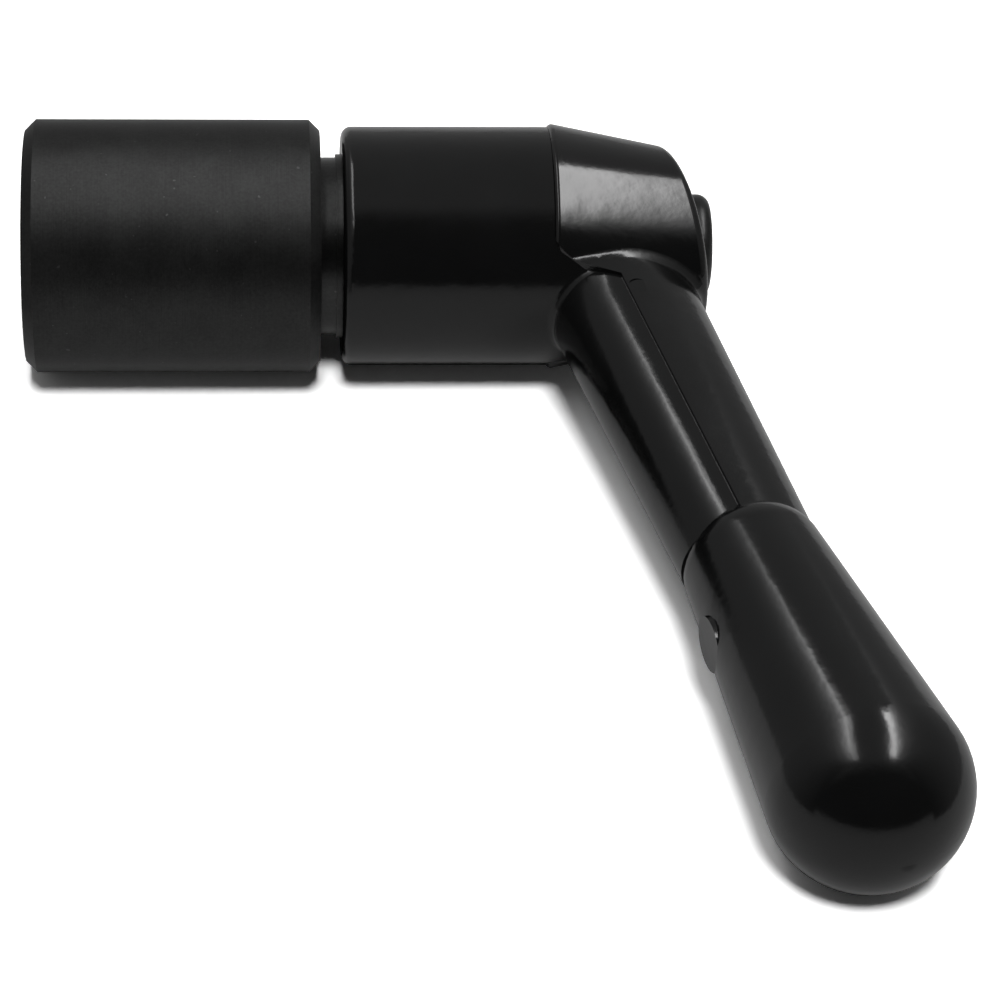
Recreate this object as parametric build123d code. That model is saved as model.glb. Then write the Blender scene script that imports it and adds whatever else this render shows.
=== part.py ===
from build123d import *
from math import acos, asin, atan2, cos, degrees, hypot, pi, radians, sin, tan
import os

# Adjustable clamping lever with a round clamp nut, in millimetres.
# The thread axis is X, with X = 0 at the middle of the clamp nut, and the arm points to -Y.
# The part lies on its side, as it rests on a bench: +Z is up, and the nut and the grip touch the bench.

# ---- clamp nut -------------------------------------------------------------------------------
NUT_DIA = 19.0
NUT_LENGTH = 22.0
NUT_EDGE = 0.8            # chamfer on both rims
NUT_MOUTH = 0.6           # countersink at both ends of the tapped hole

# ---- threads, drawn at their nominal diameter --------------------------------------------------
STUD_THREAD_DIA = 8.0
STUD_ENGAGED = 10.5       # stud inside the nut when the lever is screwed home
STUD_POINT = 0.8          # chamfer on both ends of the stud
STUD_HEX_AF = 4.0         # hexagon socket, across flats
STUD_HEX_DEPTH = 3.5
SCREW_THREAD_DIA = 5.0
THREAD_GAP = 0.05         # radial gap between a thread's crest and its hole

# ---- toothed insert ----------------------------------------------------------------------------
COLLAR_DIA = 13.35        # the neck that shows between nut and hub
COLLAR_LENGTH = 1.2
FLANGE_DIA = 13.84        # runs in the hub's counterbore
FLANGE_LENGTH = 2.0
TEETH = 24
TEETH_TIP_DIA = 12.8
TEETH_DEPTH = 0.75
TEETH_LENGTH = 4.2
TOOTH_FOOT_SHARE = 0.78   # share of the pitch that a tooth fills at its foot
TOOTH_TIP_SHARE = 0.34
TEETH_GAP = 0.1           # clearance all round a tooth
BOSS_DIA = 9.6            # plain boss above the teeth
BOSS_LENGTH = 3.6
BOSS_EDGE = 0.5
STUD_SEAT_DEPTH = 6.3     # the stud's hole, from the collar's face

# ---- lever casting: heights along the thread axis are above the collar's face --------------------
HUB_DIA = 18.0
HUB_FACE_GAP = 1.6        # from the nut to the hub's lower face
HUB_EDGE = 0.8
RUNNING_GAP = 0.08        # radial clearance of the flange and of the screw's head
SOCKET_TEETH_LENGTH = 3.8
BOSS_ROOM = 2.0           # free space above the boss
WEB_THICKNESS = 2.0
WEB_HOLE_GAP = 0.2

HEAD_BASE_DIA = 18.6      # the upper mould half stands proud of the hub
HEAD_BASE_HEIGHT = 17.15  # parting line round the hub
HEAD_BASE_EDGE = 0.35
HEAD_TAPER = 11.3         # degrees a side
HEAD_TOP_HEIGHT = 27.2    # inclined end face, on the thread axis
HEAD_TOP_EDGE = 0.7

ARM_ANGLE = 15.0          # rise of the arm above square to the thread axis, degrees
ARM_BELOW_END = 6.8       # from the end face to the arm's axis, on the thread axis
ARM_DROP = 0.8            # the parting line runs this far below the arm's axis
ARM_CROWN_ROOT = 5.95     # crown of the upper mould half above the arm's axis
ARM_CROWN_NECK = 5.05
ARM_WIDTH_ROOT = 5.0      # half width of the upper mould half
ARM_WIDTH_NECK = 4.55
ARM_BELLY_ROOT = 4.75     # half round of the lower mould half
ARM_BELLY_NECK = 4.25
ARM_WALL_DEPTH = 9.0      # the root's side walls run down at least to the parting line
SKIRT_CORNER_OUT = 7.0    # where the parting line leaves the ring round the hub
SKIRT_CORNER_RADIUS = 1.0
SKIRT_END_OUT = 8.9       # where it joins the parting line along the arm
ROOT_FILLET = 0.6         # between the hub and the arm's underside
CHEEK_FILLET = 0.9        # between the head and the arm's sides

NECK_AT = 35.0            # thinnest place, along the arm's axis
NECK_RADIUS = 5.02
NECK_SHOULDER = 1.3       # length and depth of the step from the arm to the round grip
NECK_STEP = 0.85
NECK_BLEND = 4.0
GRIP_BALL_AT = 57.7       # centre of the ball end, along the arm's axis
GRIP_BALL_RADIUS = 7.12
EJECTOR_GRIP_DIA = 4.0    # flat mark of the ejector pin under the grip
EJECTOR_GRIP_AT = 42.4
EJECTOR_ROOT_DIA = 1.5    # sunk mark beside the arm's root
EJECTOR_ROOT_AT = 10.6
EJECTOR_ROOT_DEPTH = 0.1

# ---- retaining screw and spring ------------------------------------------------------------------
SCREW_HEAD_DIA = 7.88
SCREW_HEAD_LENGTH = 5.5
SCREW_HEAD_ROUND = 0.9
SCREW_PROUD = 2.3         # above the inclined end face, on the thread axis
SCREW_POINT = 0.5
SCREW_HEX_AF = 4.0
SCREW_HEX_DEPTH = 2.8
SCREW_TIP_GAP = 0.5       # between the screw's tip and the stud
SPRING_WIRE = 0.7
SPRING_COILS = 5
SPRING_WALL_GAP = 0.3     # between the coils and the wall of the spring chamber
SPRING_SEAT_GAP = 0.05
SPRING_WIRE_SIDES = 8     # the wire's section is drawn with flats

# ---- places along the thread axis that follow ------------------------------------------------------
NUT_FACE = -NUT_LENGTH / 2
COLLAR_FACE = NUT_LENGTH / 2
FLANGE_BASE = COLLAR_FACE + COLLAR_LENGTH
TEETH_BASE = FLANGE_BASE + FLANGE_LENGTH
TEETH_TOP = TEETH_BASE + TEETH_LENGTH
BOSS_TOP = TEETH_TOP + BOSS_LENGTH
STUD_SEAT = COLLAR_FACE + STUD_SEAT_DEPTH
STUD_TOP = STUD_SEAT - THREAD_GAP
HUB_FACE = COLLAR_FACE + HUB_FACE_GAP
SOCKET_TOP = TEETH_BASE + SOCKET_TEETH_LENGTH
WEB_BASE = BOSS_TOP + BOSS_ROOM
WEB_TOP = WEB_BASE + WEB_THICKNESS
HEAD_BASE = COLLAR_FACE + HEAD_BASE_HEIGHT
HEAD_TOP = COLLAR_FACE + HEAD_TOP_HEIGHT
SCREW_TOP = HEAD_TOP + SCREW_PROUD
SCREW_SEAT = SCREW_TOP - SCREW_HEAD_LENGTH
CHAMBER_RADIUS = SCREW_HEAD_DIA / 2 + RUNNING_GAP
FAR = GRIP_BALL_AT + 4 * GRIP_BALL_RADIUS      # clear of the lever, for cutting shapes

# The grip's ball is smaller than the nut, so the lever leans down until both touch the bench.
ARM_REACH = GRIP_BALL_AT * cos(radians(ARM_ANGLE))
LEVER_LEAN = degrees(asin((NUT_DIA / 2 - GRIP_BALL_RADIUS) / ARM_REACH))

# Circles on the thread axis stand on SQUARE; the arm's side view lies in ARM_SIDE, whose x runs
# along the arm and whose y rises away from the nut.
SQUARE = Plane(origin=(0, 0, 0), x_dir=(0, 1, 0), z_dir=(1, 0, 0))
ARM_SIDE = Plane(
    origin=(HEAD_TOP - ARM_BELOW_END, 0, 0),
    x_dir=(sin(radians(ARM_ANGLE)), -cos(radians(ARM_ANGLE)), 0),
    z_dir=(0, 0, 1),
)
ARM_AXIS = Axis(ARM_SIDE.origin, ARM_SIDE.x_dir)


def rod(radius, start, end):
    """Plain cylinder on the thread axis, from one place to another."""
    return extrude(SQUARE.offset(start) * Circle(radius), end - start)


def hexagon_socket(across_flats, face, depth):
    """Cutter for a hexagon socket; a negative depth goes towards the nut."""
    flats = RegularPolygon(across_flats / 2, 6, major_radius=False)
    return extrude(SQUARE.offset(face) * flats, depth)


def toothed_bar(gap, start, end):
    """Bar with the insert's teeth, grown by a gap all round to cut the socket that fits them."""
    tip_radius = TEETH_TIP_DIA / 2 + gap
    foot_radius = TEETH_TIP_DIA / 2 - TEETH_DEPTH + gap
    foot = pi * foot_radius / TEETH * TOOTH_FOOT_SHARE + gap
    tip = pi * tip_radius / TEETH * TOOTH_TIP_SHARE + gap
    rooted = foot_radius - TEETH_DEPTH
    corners = [(rooted, -foot), (foot_radius, -foot), (tip_radius, -tip)]
    mirrored = [(x, -y) for x, y in reversed(corners)]
    tooth = make_face(Polyline(corners + mirrored, close=True))
    outline = Circle(foot_radius)
    for index in range(TEETH):
        outline += Rot(0, 0, 360 / TEETH * index) * tooth
    return extrude(SQUARE.offset(start) * outline, end - start)


def clamp_nut():
    body = rod(NUT_DIA / 2, NUT_FACE, COLLAR_FACE)
    body = chamfer(body.edges().filter_by(GeomType.CIRCLE), NUT_EDGE)
    bored = body - rod(STUD_THREAD_DIA / 2, NUT_FACE, COLLAR_FACE)
    return chamfer(new_edges(body, combined=bored).filter_by(GeomType.CIRCLE), NUT_MOUTH)


def stud():
    start = COLLAR_FACE - STUD_ENGAGED
    body = rod(STUD_THREAD_DIA / 2 - THREAD_GAP, start, STUD_TOP)
    body = chamfer(body.edges().filter_by(GeomType.CIRCLE), STUD_POINT)
    return body - hexagon_socket(STUD_HEX_AF, start, STUD_HEX_DEPTH)


def toothed_insert():
    boss = rod(BOSS_DIA / 2, TEETH_TOP, BOSS_TOP)
    body = chamfer(boss.edges().sort_by(Axis.X)[-1], BOSS_EDGE)
    body += rod(COLLAR_DIA / 2, COLLAR_FACE, FLANGE_BASE)
    body += rod(FLANGE_DIA / 2, FLANGE_BASE, TEETH_BASE)
    body += toothed_bar(0, TEETH_BASE, TEETH_TOP)
    body -= rod(STUD_THREAD_DIA / 2, COLLAR_FACE, STUD_SEAT)
    return body - rod(SCREW_THREAD_DIA / 2, STUD_SEAT, BOSS_TOP)


def arm_taper(root, neck, station):
    """Size that changes evenly from the arm's root to its neck."""
    return root + (neck - root) * station / NECK_AT


def nut_side_of_parting():
    """Everything on the nut's side of the parting line: the line rings the hub, turns a rounded
    corner beside the arm's root and then runs along the arm."""
    rise = tan(radians(ARM_ANGLE))
    start = ARM_SIDE.origin.X - ARM_DROP / cos(radians(ARM_ANGLE))
    outline = make_face(
        Polyline(
            (NUT_FACE, FAR),
            (HEAD_BASE, FAR),
            (HEAD_BASE, -SKIRT_CORNER_OUT),
            (start + rise * SKIRT_END_OUT, -SKIRT_END_OUT),
            (start + rise * FAR, -FAR),
            (NUT_FACE, -FAR),
            close=True,
        )
    )
    corner = outline.vertices().sort_by_distance((HEAD_BASE, -SKIRT_CORNER_OUT, 0))[0]
    return extrude(fillet(corner, SKIRT_CORNER_RADIUS), NUT_DIA, both=True)


def lower_half():
    """Hub and the arm's half-round belly, with the fillet between them."""
    hub = rod(HUB_DIA / 2, HUB_FACE, HEAD_TOP + HUB_DIA)
    hub = fillet(hub.edges().sort_by(Axis.X)[0], HUB_EDGE)
    side = Polyline(
        (0, -ARM_DROP),
        (0, -ARM_DROP - ARM_BELLY_ROOT),
        (NECK_AT, -ARM_DROP - ARM_BELLY_NECK),
        (NECK_AT, -ARM_DROP),
        close=True,
    )
    axis = Axis(ARM_SIDE.from_local_coords((0, -ARM_DROP, 0)), ARM_SIDE.x_dir)
    belly = revolve(ARM_SIDE * make_face(side), axis)
    body = hub + belly
    return fillet(new_edges(hub, belly, combined=body), ROOT_FILLET)


def crown_section(station):
    """Section of the arm's upper half: an oval crown on walls that pass the parting line."""
    half = arm_taper(ARM_WIDTH_ROOT, ARM_WIDTH_NECK, station)
    top = arm_taper(ARM_CROWN_ROOT, ARM_CROWN_NECK, station) + ARM_DROP
    crown = EllipticalCenterArc((0, 0), half, top, arc_size=180)
    walls = Polyline((-half, 0), (-half, -ARM_WALL_DEPTH), (half, -ARM_WALL_DEPTH), (half, 0))
    place = Plane(
        origin=ARM_SIDE.from_local_coords((station, -ARM_DROP, 0)),
        x_dir=-ARM_SIDE.z_dir,
        z_dir=ARM_SIDE.x_dir,
    )
    return place * make_face(crown + walls)


def head():
    """Tapered head, closed by the inclined end face that lies along the arm."""
    base = HEAD_BASE_DIA / 2
    rise = HEAD_TOP + base - HEAD_BASE
    cone = SQUARE.offset(HEAD_BASE) * Circle(base)
    body = extrude(cone, rise, taper=HEAD_TAPER)
    body = fillet(body.edges().sort_by(Axis.X)[0], HEAD_BASE_EDGE)
    end_face = Plane(origin=(HEAD_TOP, 0, 0), x_dir=ARM_SIDE.x_dir, z_dir=ARM_SIDE.y_dir)
    body -= extrude(end_face * Rectangle(FAR, FAR), FAR)
    return fillet(body.edges().sort_by(Axis.X)[-1], HEAD_TOP_EDGE)


def upper_half():
    """Head and the arm's crown, with the fillets in the corners beside the arm."""
    cap = head()
    crown = loft([crown_section(0), crown_section(NECK_AT)], ruled=True)
    body = cap + crown
    corners = [e for e in new_edges(cap, crown, combined=body) if e.center().X > HEAD_BASE + THREAD_GAP]
    return fillet(corners, CHEEK_FILLET)


def grip():
    """Round grip: a shoulder at the neck, a slender cone and a ball end."""
    start = NECK_AT - NECK_SHOULDER
    reach = GRIP_BALL_AT - NECK_AT
    towards_neck = atan2(NECK_RADIUS, -reach)
    touch = towards_neck - acos(GRIP_BALL_RADIUS / hypot(reach, NECK_RADIUS))
    ball = CenterArc((GRIP_BALL_AT, 0), GRIP_BALL_RADIUS, 0, degrees(touch))
    side = Polyline(
        ball @ 1,
        (NECK_AT, NECK_RADIUS),
        (start, NECK_RADIUS - NECK_STEP),
        (start, 0),
        ball @ 0,
    )
    profile = make_face(ball + side)
    neck = profile.vertices().sort_by_distance((NECK_AT, NECK_RADIUS, 0))[0]
    return revolve(ARM_SIDE * fillet(neck, NECK_BLEND), ARM_AXIS)


def mark_grip(body):
    """Flat face of the ejector pin, square to the grip's axis: proud at one end, sunk at the other."""
    share = (EJECTOR_GRIP_AT - NECK_AT) / (GRIP_BALL_AT - NECK_AT)
    below = NECK_RADIUS + (GRIP_BALL_RADIUS - NECK_RADIUS) * share
    place = Plane(
        origin=ARM_SIDE.from_local_coords((EJECTOR_GRIP_AT, -below, 0)),
        x_dir=ARM_SIDE.x_dir,
        z_dir=-ARM_SIDE.y_dir,
    )
    pin = place * Circle(EJECTOR_GRIP_DIA / 2)
    return body + extrude(pin, -NECK_RADIUS / 2) - extrude(pin, NECK_RADIUS / 2)


def mark_root(body):
    """Small sunk mark beside the arm's root."""
    wall = arm_taper(ARM_WIDTH_ROOT, ARM_WIDTH_NECK, EJECTOR_ROOT_AT)
    place = Plane(
        origin=ARM_SIDE.from_local_coords((EJECTOR_ROOT_AT, 0, wall - EJECTOR_ROOT_DEPTH)),
        x_dir=ARM_SIDE.x_dir,
        z_dir=ARM_SIDE.z_dir,
    )
    return body - extrude(place * Circle(EJECTOR_ROOT_DIA / 2), EJECTOR_ROOT_DIA)


def lever_bore():
    """What is cut out of the lever: counterbore for the flange, toothed socket, room for the boss,
    the screw's hole in the web and the spring chamber."""
    bore = rod(FLANGE_DIA / 2 + RUNNING_GAP, HUB_FACE - HUB_EDGE, TEETH_BASE)
    bore += toothed_bar(TEETH_GAP, TEETH_BASE, SOCKET_TOP)
    bore += rod(TEETH_TIP_DIA / 2 + TEETH_GAP, SOCKET_TOP, WEB_BASE)
    bore += rod(SCREW_THREAD_DIA / 2 + WEB_HOLE_GAP, WEB_BASE, WEB_TOP)
    return bore + rod(CHAMBER_RADIUS, WEB_TOP, SCREW_TOP)


def lever_handle():
    nut_side = nut_side_of_parting()
    body = (lower_half() & nut_side) + (upper_half() - nut_side) + grip()
    return mark_root(mark_grip(body)) - lever_bore()


def retaining_screw():
    cap = rod(SCREW_HEAD_DIA / 2, SCREW_SEAT, SCREW_TOP)
    cap = fillet(cap.edges().sort_by(Axis.X)[-1], SCREW_HEAD_ROUND)
    shank = rod(SCREW_THREAD_DIA / 2 - THREAD_GAP, STUD_TOP + SCREW_TIP_GAP, SCREW_SEAT)
    shank = chamfer(shank.edges().sort_by(Axis.X)[0], SCREW_POINT)
    return cap + shank - hexagon_socket(SCREW_HEX_AF, SCREW_TOP, -SCREW_HEX_DEPTH)


def spring():
    """Compression spring with ground ends, between the lever's web and the screw's head."""
    low = WEB_TOP + SPRING_SEAT_GAP
    length = SCREW_SEAT - SPRING_SEAT_GAP - low
    radius = CHAMBER_RADIUS - SPRING_WALL_GAP - SPRING_WIRE / 2
    path = Helix(length / SPRING_COILS, length, radius, center=(low, 0, 0), direction=(1, 0, 0))
    wire = Plane(origin=path @ 0, z_dir=path % 0) * RegularPolygon(SPRING_WIRE / 2, SPRING_WIRE_SIDES)
    return sweep(wire, path=path) & rod(CHAMBER_RADIUS, low, low + length)


def main():
    os.makedirs("parts", exist_ok=True)
    lean = Rot(LEVER_LEAN, 0, 0)
    pieces = {
        "clamp_nut": clamp_nut(),
        "stud": lean * stud(),
        "toothed_insert": lean * toothed_insert(),
        "retaining_screw": lean * retaining_screw(),
        "spring": lean * spring(),
        "lever_handle": lean * lever_handle(),
    }
    for node, piece in pieces.items():
        export_step(piece, f"parts/{node}.step")


if __name__ == "__main__":
    main()
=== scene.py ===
import math

import bpy
from mathutils import Matrix, Vector


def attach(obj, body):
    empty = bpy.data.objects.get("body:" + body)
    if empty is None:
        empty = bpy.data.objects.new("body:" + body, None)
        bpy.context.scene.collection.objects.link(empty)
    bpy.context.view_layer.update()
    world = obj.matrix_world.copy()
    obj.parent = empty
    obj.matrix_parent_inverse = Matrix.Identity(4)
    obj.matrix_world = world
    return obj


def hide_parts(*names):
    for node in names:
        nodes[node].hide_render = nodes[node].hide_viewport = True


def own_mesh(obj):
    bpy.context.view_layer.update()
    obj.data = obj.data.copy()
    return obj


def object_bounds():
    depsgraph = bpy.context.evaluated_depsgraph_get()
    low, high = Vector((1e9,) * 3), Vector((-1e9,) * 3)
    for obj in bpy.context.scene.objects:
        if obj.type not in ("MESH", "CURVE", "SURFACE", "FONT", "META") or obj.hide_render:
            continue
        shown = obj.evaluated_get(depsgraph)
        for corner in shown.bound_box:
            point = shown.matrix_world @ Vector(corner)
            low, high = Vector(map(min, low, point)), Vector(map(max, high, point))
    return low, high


# Looks of an adjustable clamping lever: a gloss black die-cast lever on a toothed insert, screwed
# into a round black-oxide clamp nut. Everything is in metres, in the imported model's frame: the
# thread axis is X, with X = 0 at the nut's middle, the arm points to -Y, and +Z is up.

MM = 0.001
THREAD_PITCH = 1.25 * MM      # M8 coarse
FLANK = math.tan(math.radians(30))
PITCH_RADIUS = 3.594 * MM     # where ridge and groove are equally wide
FLANK_GAP = 0.03 * MM         # play of the thread, on each flank
NUT_WALL = 4.03 * MM          # the nut's ridge stands on this radius, just inside the solid
NUT_CREST = 3.36 * MM
STUD_ROOT = 3.24 * MM
STUD_CREST = 3.93 * MM
NUT_THREAD = (-10.45 * MM, 10.45 * MM)
STUD_THREAD = (1.425 * MM, 16.4 * MM)    # half a pitch out of step with the nut's
SOCKET_SHARE = 0.75           # the hexagon socket lies within this share of the stud's radius
RUNOUT_TURNS = 0.3            # over which a thread runs out at each end
SUNK = 0.04 * MM              # of the stud's ridge in its core
WIRE_RADIUS = 0.35 * MM       # of the spring
WIRE_SIDES = 14
COIL_RADIUS = 3.37 * MM
COIL_TURNS = 5
COIL_STEPS = 64               # points to a turn
NO_RUNOUT = 0.001
COIL = (26.40 * MM, 34.60 * MM)

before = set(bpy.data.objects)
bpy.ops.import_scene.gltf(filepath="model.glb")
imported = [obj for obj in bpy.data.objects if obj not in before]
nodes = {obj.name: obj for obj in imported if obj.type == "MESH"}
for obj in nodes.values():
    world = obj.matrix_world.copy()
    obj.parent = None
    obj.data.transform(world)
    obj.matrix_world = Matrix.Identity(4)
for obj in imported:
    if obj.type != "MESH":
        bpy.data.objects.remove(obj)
cad_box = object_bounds()


# ---------------------------------------------------------------- shader graph in plain Python
class Wire:
    """A node's output socket, on which arithmetic adds Math nodes."""

    def __init__(self, graph, socket):
        self.graph = graph
        self.socket = socket

    def _math(self, operation, *others):
        return self.graph.node("ShaderNodeMath", {"operation": operation}, (self, *others))

    def __add__(self, other):
        return self._math("ADD", other)

    def __sub__(self, other):
        return self._math("SUBTRACT", other)

    def __rsub__(self, other):
        return self.graph.node("ShaderNodeMath", {"operation": "SUBTRACT"}, (other, self))

    def __mul__(self, other):
        return self._math("MULTIPLY", other)

    def __truediv__(self, other):
        return self._math("DIVIDE", other)

    def least(self, other):
        """The smaller of the two."""
        return self._math("MINIMUM", other)

    __radd__ = __add__
    __rmul__ = __mul__

    def exp(self):
        return self._math("EXPONENT")

    def ramp(self, low, high):
        """0 below low, 1 above high, smooth between; low may be the larger."""
        settings = {"interpolation_type": "SMOOTHSTEP"}
        return self.graph.node("ShaderNodeMapRange", settings, (self, low, high, 0.0, 1.0))


class Graph:
    """A node tree that is built by naming nodes and what feeds them."""

    def __init__(self, tree):
        self.tree = tree
        tree.nodes.clear()

    def node(self, kind, settings=None, inputs=(), output=0):
        made = self.tree.nodes.new(kind)
        for name, value in (settings or {}).items():
            setattr(made, name, value)
        pairs = inputs.items() if isinstance(inputs, dict) else enumerate(inputs)
        for key, value in pairs:
            if isinstance(value, Wire):
                self.tree.links.new(value.socket, made.inputs[key])
            else:
                made.inputs[key].default_value = value
        return Wire(self, made.outputs[output]) if len(made.outputs) else None

    def place(self, centre=(0, 0, 0), stretch=(1, 1, 1)):
        """Coordinates in metres on the object, moved to a centre and stretched."""
        here = self.node("ShaderNodeTexCoord", output="Object")
        shift = [-c * s for c, s in zip(centre, stretch)]
        return self.node("ShaderNodeMapping", {}, {"Vector": here, "Location": shift, "Scale": stretch})

    def noise(self, where, size, detail=2.0, roughness=0.5):
        """Noise whose features are about that size, in metres."""
        values = {"Vector": where, "Scale": 1 / size, "Detail": detail, "Roughness": roughness}
        return self.node("ShaderNodeTexNoise", {}, values, "Fac")

    def split(self, vector):
        made = self.node("ShaderNodeSeparateXYZ", {}, (vector,)).socket.node
        return [Wire(self, socket) for socket in made.outputs]

    def blend(self, factor, first, second):
        settings = {"data_type": "RGBA"}
        values = {"Factor": factor, 6: first, 7: second}
        return self.node("ShaderNodeMix", settings, values, 2)

    def bump(self, height, distance, strength=1.0, normal=None):
        values = {"Strength": strength, "Distance": distance, "Height": height}
        if normal:
            values["Normal"] = normal
        return self.node("ShaderNodeBump", {}, values)


def material(name, build):
    made = bpy.data.materials.new(name)
    made.use_nodes = True
    graph = Graph(made.node_tree)
    surface = build(graph)
    graph.node("ShaderNodeOutputMaterial", {}, {"Surface": surface})
    return made


def grey(value, tint=(1.0, 1.0, 1.0)):
    return (value * tint[0], value * tint[1], value * tint[2], 1.0)


# ---------------------------------------------------------------- materials of the object
def gloss_paint(graph):
    """Black stoved paint on a zinc casting: orange peel, a fine grain and slightly duller patches."""
    where = graph.place()
    peel = graph.noise(where, 1.6 * MM, 2.0)
    grain = graph.noise(where, 0.25 * MM, 2.0)
    patches = graph.noise(where, 5.0 * MM, 3.0)
    normal = graph.bump(grain, 0.0025 * MM, normal=graph.bump(peel, 0.02 * MM))
    values = {
        "Base Color": graph.blend(patches, grey(0.0012), grey(0.0024, (0.95, 1.0, 1.02))),
        "Roughness": 0.10 + 0.08 * patches,
        "Normal": normal,
        "IOR": 1.5,
    }
    return graph.node("ShaderNodeBsdfPrincipled", {}, values)


def oxide_steel(tone, roughness, axial_brush=False):
    """Turned steel with a black oxide finish. Turning marks run round the thread axis, or along it
    on a drawn surface; the oxide is blotchy and has small pale specks."""

    def build(graph):
        around = (60.0, 0.6, 0.6) if not axial_brush else (0.3, 6.0, 6.0)
        marks = graph.noise(graph.place(stretch=around), 6.0 * MM, 4.0, 0.6)
        blotch = graph.noise(graph.place(), 3.0 * MM, 4.0, 0.6)
        grain = graph.noise(graph.place(), 0.22 * MM, 2.0)
        specks = graph.noise(graph.place(centre=(3 * MM, 0, 0)), 0.5 * MM, 1.0).ramp(0.74, 0.80)
        level = 0.45 * blotch + 0.35 * grain + 0.20 * marks
        oxide = graph.blend(level.ramp(0.3, 0.7), grey(tone * 0.82), grey(tone * 1.2, (1.0, 1.01, 1.0)))
        values = {
            "Base Color": graph.blend(specks * 0.5, oxide, grey(tone * 2.6)),
            "Metallic": 1.0,
            "Roughness": roughness - 0.06 + 0.12 * blotch,
            "Normal": graph.bump(grain, 0.006 * MM, normal=graph.bump(marks, 0.010 * MM)),
        }
        return graph.node("ShaderNodeBsdfPrincipled", {}, values)

    return build


def spring_wire(graph):
    drawn = graph.noise(graph.place(stretch=(1.0, 4.0, 4.0)), 1.0 * MM, 3.0)
    values = {
        "Base Color": graph.blend(drawn, grey(0.30), grey(0.42, (1.0, 1.0, 1.02))),
        "Metallic": 1.0,
        "Roughness": 0.22 + 0.12 * drawn,
        "Normal": graph.bump(drawn, 0.004 * MM),
    }
    return graph.node("ShaderNodeBsdfPrincipled", {}, values)


finishes = {
    "lever_handle": material("black_paint", gloss_paint),
    "clamp_nut": material("black_oxide_steel", oxide_steel(0.052, 0.44)),
    "stud": material("stud_steel", oxide_steel(0.09, 0.34)),
    "toothed_insert": material("insert_steel", oxide_steel(0.06, 0.30, axial_brush=True)),
    "retaining_screw": material("screw_steel", oxide_steel(0.05, 0.34)),
    "spring": material("spring_steel", spring_wire),
}
for name, finish in finishes.items():
    nodes[name].data.materials.clear()
    nodes[name].data.materials.append(finish)


# ---------------------------------------------------------------- threads and spring
def coil_modifier(tree, section):
    """Fills a tree that sweeps a section along a helix on the X axis. Both of the helix's ends run
    out to nothing over the share of the length that Runout gives."""
    for name in ("Turns", "Radius", "Start", "Length", "Runout"):
        tree.interface.new_socket(name, in_out="INPUT", socket_type="NodeSocketFloat")
    tree.interface.new_socket("Finish", in_out="INPUT", socket_type="NodeSocketMaterial")
    tree.interface.new_socket("Geometry", in_out="OUTPUT", socket_type="NodeSocketGeometry")
    graph = Graph(tree)
    given = graph.node("NodeGroupInput").socket.node
    turns, radius, start, length, runout, finish = [Wire(graph, socket) for socket in given.outputs[:6]]
    values = {
        "Resolution": COIL_STEPS,
        "Rotations": turns,
        "Start Radius": radius,
        "End Radius": radius,
        "Height": length,
        "Reverse": True,
    }
    helix = graph.node("GeometryNodeCurveSpiral", {}, values)
    helix = graph.node("GeometryNodeSetCurveNormal", {"mode": "Z_UP"}, {"Curve": helix})
    along = graph.node("GeometryNodeSplineParameter", output="Factor")
    size = (along / runout).least(1.0).least((1.0 - along) / runout) + 0.001
    values = {"Curve": helix, "Profile Curve": section(graph), "Scale": size, "Fill Caps": True}
    solid = graph.node("GeometryNodeCurveToMesh", {}, values)
    move = graph.node("ShaderNodeCombineXYZ", {}, {"X": start})
    values = {"Geometry": solid, "Translation": move, "Rotation": (0, math.pi / 2, 0)}
    solid = graph.node("GeometryNodeTransform", {}, values)
    solid = graph.node("GeometryNodeRealizeInstances", {}, {"Geometry": solid})
    solid = graph.node("GeometryNodeSetMaterial", {}, {"Geometry": solid, "Material": finish})
    graph.node("NodeGroupOutput", {}, {"Geometry": solid})


def ridge_section(foot, crest, sign):
    """Section of a thread's ridge, from its foot to its crest; the sign is -1 for a nut."""

    def half_width(radius):
        return THREAD_PITCH / 4 - FLANK_GAP - sign * (radius - PITCH_RADIUS) * FLANK

    def build(graph):
        tall = crest - foot
        low, high = half_width(foot), half_width(crest)
        corners = [(0, low), (tall, high), (tall, -high), (0, -low)]
        if tall > 0:
            corners.reverse()
        points = {f"Point {k + 1}": (out, width, 0) for k, (out, width) in enumerate(corners)}
        return graph.node("GeometryNodeCurvePrimitiveQuadrilateral", {"mode": "POINTS"}, points)

    return build


def wire_section(graph):
    values = {"Resolution": WIRE_SIDES, "Radius": WIRE_RADIUS}
    return graph.node("GeometryNodeCurvePrimitiveCircle", {}, values)


def coil(name, section, finish, **sizes):
    """A finished mesh of the helix, with its material."""
    tree = bpy.data.node_groups.new(name, "GeometryNodeTree")
    coil_modifier(tree, section)
    seed = bpy.data.objects.new(name + "_seed", bpy.data.meshes.new(name + "_seed"))
    bpy.context.scene.collection.objects.link(seed)
    modifier = seed.modifiers.new("coil", "NODES")
    modifier.node_group = tree
    identifiers = {i.name: i.identifier for i in tree.interface.items_tree if i.in_out == "INPUT"}
    for key, value in {**sizes, "Finish": finish}.items():
        modifier[identifiers[key]] = value
    bpy.context.view_layer.update()
    ready = seed.evaluated_get(bpy.context.evaluated_depsgraph_get())
    mesh = bpy.data.meshes.new_from_object(ready)
    bpy.data.objects.remove(seed)
    bpy.data.node_groups.remove(tree)
    made = bpy.data.objects.new(name, mesh)
    bpy.context.scene.collection.objects.link(made)
    return made


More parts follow.
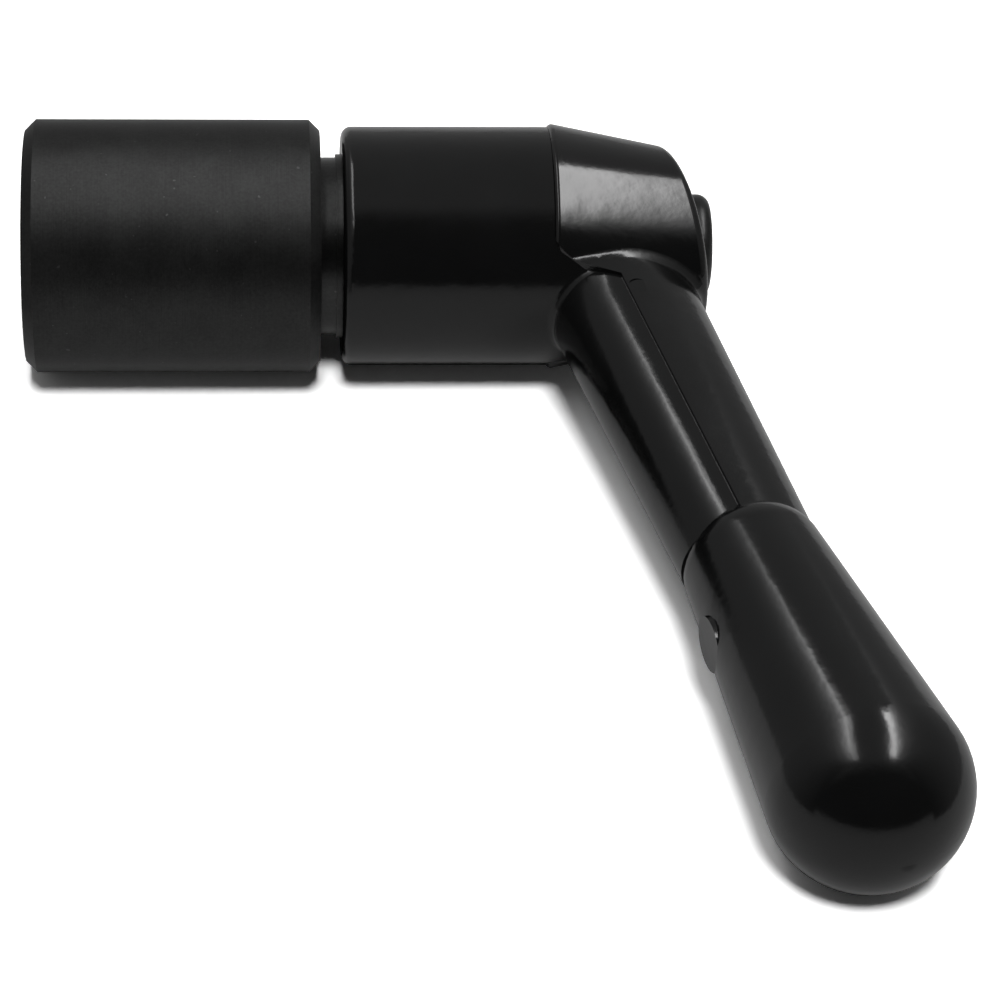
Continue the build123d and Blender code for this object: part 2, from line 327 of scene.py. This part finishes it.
def thread(name, section, finish, foot, ends):
    """A thread's ridge between two places on the axis, on a foot of that radius."""
    turns = (ends[1] - ends[0]) / THREAD_PITCH
    sizes = {"Turns": turns, "Radius": foot, "Start": ends[0], "Length": ends[1] - ends[0]}
    return coil(name, section, finish, Runout=RUNOUT_TURNS / turns, **sizes)


def stud_core():
    """The stud's solid, thinned to the root of its thread; the hexagon socket keeps its size."""
    mesh = nodes["stud"].data.copy()
    mesh.transform(nodes["stud"].matrix_world)
    outside = max(math.hypot(v.co.y, v.co.z) for v in mesh.vertices)
    for vertex in mesh.vertices:
        if math.hypot(vertex.co.y, vertex.co.z) > SOCKET_SHARE * outside:
            vertex.co.y *= STUD_ROOT / outside
            vertex.co.z *= STUD_ROOT / outside
    core = bpy.data.objects.new("stud_core", mesh)
    bpy.context.scene.collection.objects.link(core)
    return core


def add_pieces():
    """The nut's thread, the stud with its thread, and the spring coil, each attached to the body of its
    part. The real spring shortens as the lever lifts; this coil keeps one length.
    """
    ridge = ridge_section(NUT_WALL, NUT_CREST, -1)
    nut_thread = thread("nut_thread", ridge, finishes["clamp_nut"], NUT_WALL, NUT_THREAD)
    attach(nut_thread, "nut")
    foot = STUD_ROOT - SUNK
    ridge = ridge_section(foot, STUD_CREST, 1)
    stud_thread = thread("stud_thread", ridge, finishes["stud"], foot, STUD_THREAD)
    core = stud_core()
    for piece in (core, stud_thread):
        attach(piece, "stud")
        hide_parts("stud")
    sizes = {
        "Turns": COIL_TURNS,
        "Radius": COIL_RADIUS,
        "Start": COIL[0],
        "Length": COIL[1] - COIL[0],
        "Runout": NO_RUNOUT,
    }
    spring_coil = coil("spring_coil", wire_section, finishes["spring"], **sizes)
    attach(spring_coil, "spring")
    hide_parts("spring")
    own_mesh(spring_coil)


add_pieces()


# ---------------------------------------------------------------- floor, light tent and camera
def camera_share(graph):
    return graph.node("ShaderNodeLightPath", output="Is Camera Ray")


def pale_floor(graph):
    """Matt table that the camera sees near white, while the gloss sees it as pale grey."""
    seen = camera_share(graph)
    grain = graph.noise(graph.place(), 2.0 * MM)
    values = {
        "Color": graph.blend(seen, grey(FLOOR_GREY), grey(FLOOR_WHITE)),
        "Normal": graph.bump(grain, 0.02 * MM),
    }
    return graph.node("ShaderNodeBsdfDiffuse", {}, values)


def glowing_wall(graph):
    """Tent wall that is lit from its top edge."""
    _, along, height = graph.split(graph.place())
    depth = (TENT_HEIGHT - height) / WALL_FADE
    fade = along.ramp(TENT_FRONT - 20 * MM, TENT_FRONT + 60 * MM)
    strength = WALL_LEVEL * fade + WALL_GLOW * ((0.0 - depth).exp()) * fade
    return graph.node("ShaderNodeEmission", {}, {"Color": grey(1.0), "Strength": strength})


TENT_HEIGHT = 168 * MM
TENT_FRONT = -95 * MM
TENT_BACK = 105 * MM
STRIP_WIDTH = 16 * MM
WALL_GLOW = 9.0               # at the wall's top edge
WALL_FADE = 24 * MM           # height over which the glow falls to a third
WALL_LEVEL = 0.2              # of the rest of the wall
STRIPS = {"strip_right": (100 * MM, 0.10), "strip_left": (-17 * MM, 0.03)}    # place and power
FLOOR_GREY = 0.30             # as the gloss mirrors it
FLOOR_WHITE = 1.3             # as the camera sees it, a little overexposed
FLOOR_RADIUS = 1.6
ROOM_LIGHT = 0.06             # on matt surfaces, beside the key lamp
ROOM_FRONT = 0.04             # as the gloss sees it, on the camera's side
ROOM_BACK = 0.26
KEY_LIGHT = 3.0               # on matt surfaces alone
KEY_SPREAD = 12               # degrees
KEY_TILT = 28                 # from straight above towards the camera


CAMERA_PLACE = (5.23 * MM, -241.63 * MM, 184.38 * MM)
CAMERA_HEADING = 4.834        # degrees
CAMERA_TILT = 40.873
CAMERA_ROLL = 2.965
CAMERA_LENS = 144.49


def flat_mesh(name, corners, finish):
    mesh = bpy.data.meshes.new(name)
    mesh.from_pydata(corners, [], [tuple(range(len(corners)))])
    mesh.materials.append(finish)
    made = bpy.data.objects.new(name, mesh)
    bpy.context.scene.collection.objects.link(made)
    return made


def studio():
    bench = cad_box[0][2]
    turns = [math.tau * k / 64 for k in range(64)]
    ring = [(FLOOR_RADIUS * math.cos(a), FLOOR_RADIUS * math.sin(a), bench) for a in turns]
    flat_mesh("floor", ring, material("pale_table", pale_floor))
    wall = material("tent_wall", glowing_wall)
    for name, (x, power) in STRIPS.items():
        at = x + math.copysign(STRIP_WIDTH / 2, x)
        foot = [(at, y, bench) for y in (TENT_FRONT, TENT_BACK)]
        top = [(at, y, TENT_HEIGHT) for y in (TENT_BACK, TENT_FRONT)]
        corners = foot + top
        panel = flat_mesh(f"wall_{name}", corners, wall)
        panel.visible_camera = False
        panel.visible_shadow = False
        lamp = bpy.data.lights.new(name, "AREA")
        lamp.shape = "RECTANGLE"
        lamp.size = STRIP_WIDTH
        lamp.size_y = TENT_BACK - TENT_FRONT
        lamp.energy = power
        holder = bpy.data.objects.new(name, lamp)
        holder.location = (x, (TENT_FRONT + TENT_BACK) / 2, TENT_HEIGHT)
        holder.visible_camera = False
        bpy.context.scene.collection.objects.link(holder)
    key = bpy.data.lights.new("key", "SUN")
    key.energy = KEY_LIGHT
    key.angle = math.radians(KEY_SPREAD)
    holder = bpy.data.objects.new("key", key)
    holder.rotation_euler = (math.radians(KEY_TILT), 0, 0)
    holder.visible_glossy = False
    bpy.context.scene.collection.objects.link(holder)


def surroundings():
    """White to the camera; matt surfaces see a dim room beside the key lamp, and the gloss sees a dim
    room with a dark front.
    """
    world = bpy.data.worlds.new("surroundings")
    bpy.context.scene.world = world
    world.use_nodes = True
    graph = Graph(world.node_tree)
    direction = graph.node("ShaderNodeTexCoord", output="Generated")
    _, backward, _ = graph.split(direction)
    room = ROOM_FRONT + (ROOM_BACK - ROOM_FRONT) * backward.ramp(-0.5, -0.2)
    matt = graph.node("ShaderNodeLightPath", output="Is Diffuse Ray")
    seen = graph.node("ShaderNodeLightPath", output="Is Camera Ray")
    strength = room + (ROOM_LIGHT - room) * matt + (1.0 - room) * seen
    light = graph.node("ShaderNodeBackground", {}, {"Color": grey(1.0), "Strength": strength})
    graph.node("ShaderNodeOutputWorld", {}, {"Surface": light})


def photographer():
    """Camera from its place, its heading to the right of +Y, its tilt down and its roll."""
    place = Vector(CAMERA_PLACE)
    heading, tilt, roll = (math.radians(v) for v in (CAMERA_HEADING, CAMERA_TILT, CAMERA_ROLL))
    flat = math.cos(tilt)
    ahead = Vector((math.sin(heading) * flat, math.cos(heading) * flat, -math.sin(tilt)))
    level = Vector((math.cos(heading), -math.sin(heading), 0.0))
    upright = level.cross(ahead)
    right = level * math.cos(roll) + upright * math.sin(roll)
    up = upright * math.cos(roll) - level * math.sin(roll)
    data = bpy.data.cameras.new("camera")
    data.sensor_width = 36.0
    data.lens = CAMERA_LENS
    data.clip_start = 0.01
    camera = bpy.data.objects.new("camera", data)
    camera.matrix_world = Matrix.Translation(place) @ Matrix((right, up, -ahead)).transposed().to_4x4()
    bpy.context.scene.collection.objects.link(camera)
    bpy.context.scene.camera = camera


studio()
surroundings()
photographer()
bpy.context.scene.view_settings.view_transform = "Standard"
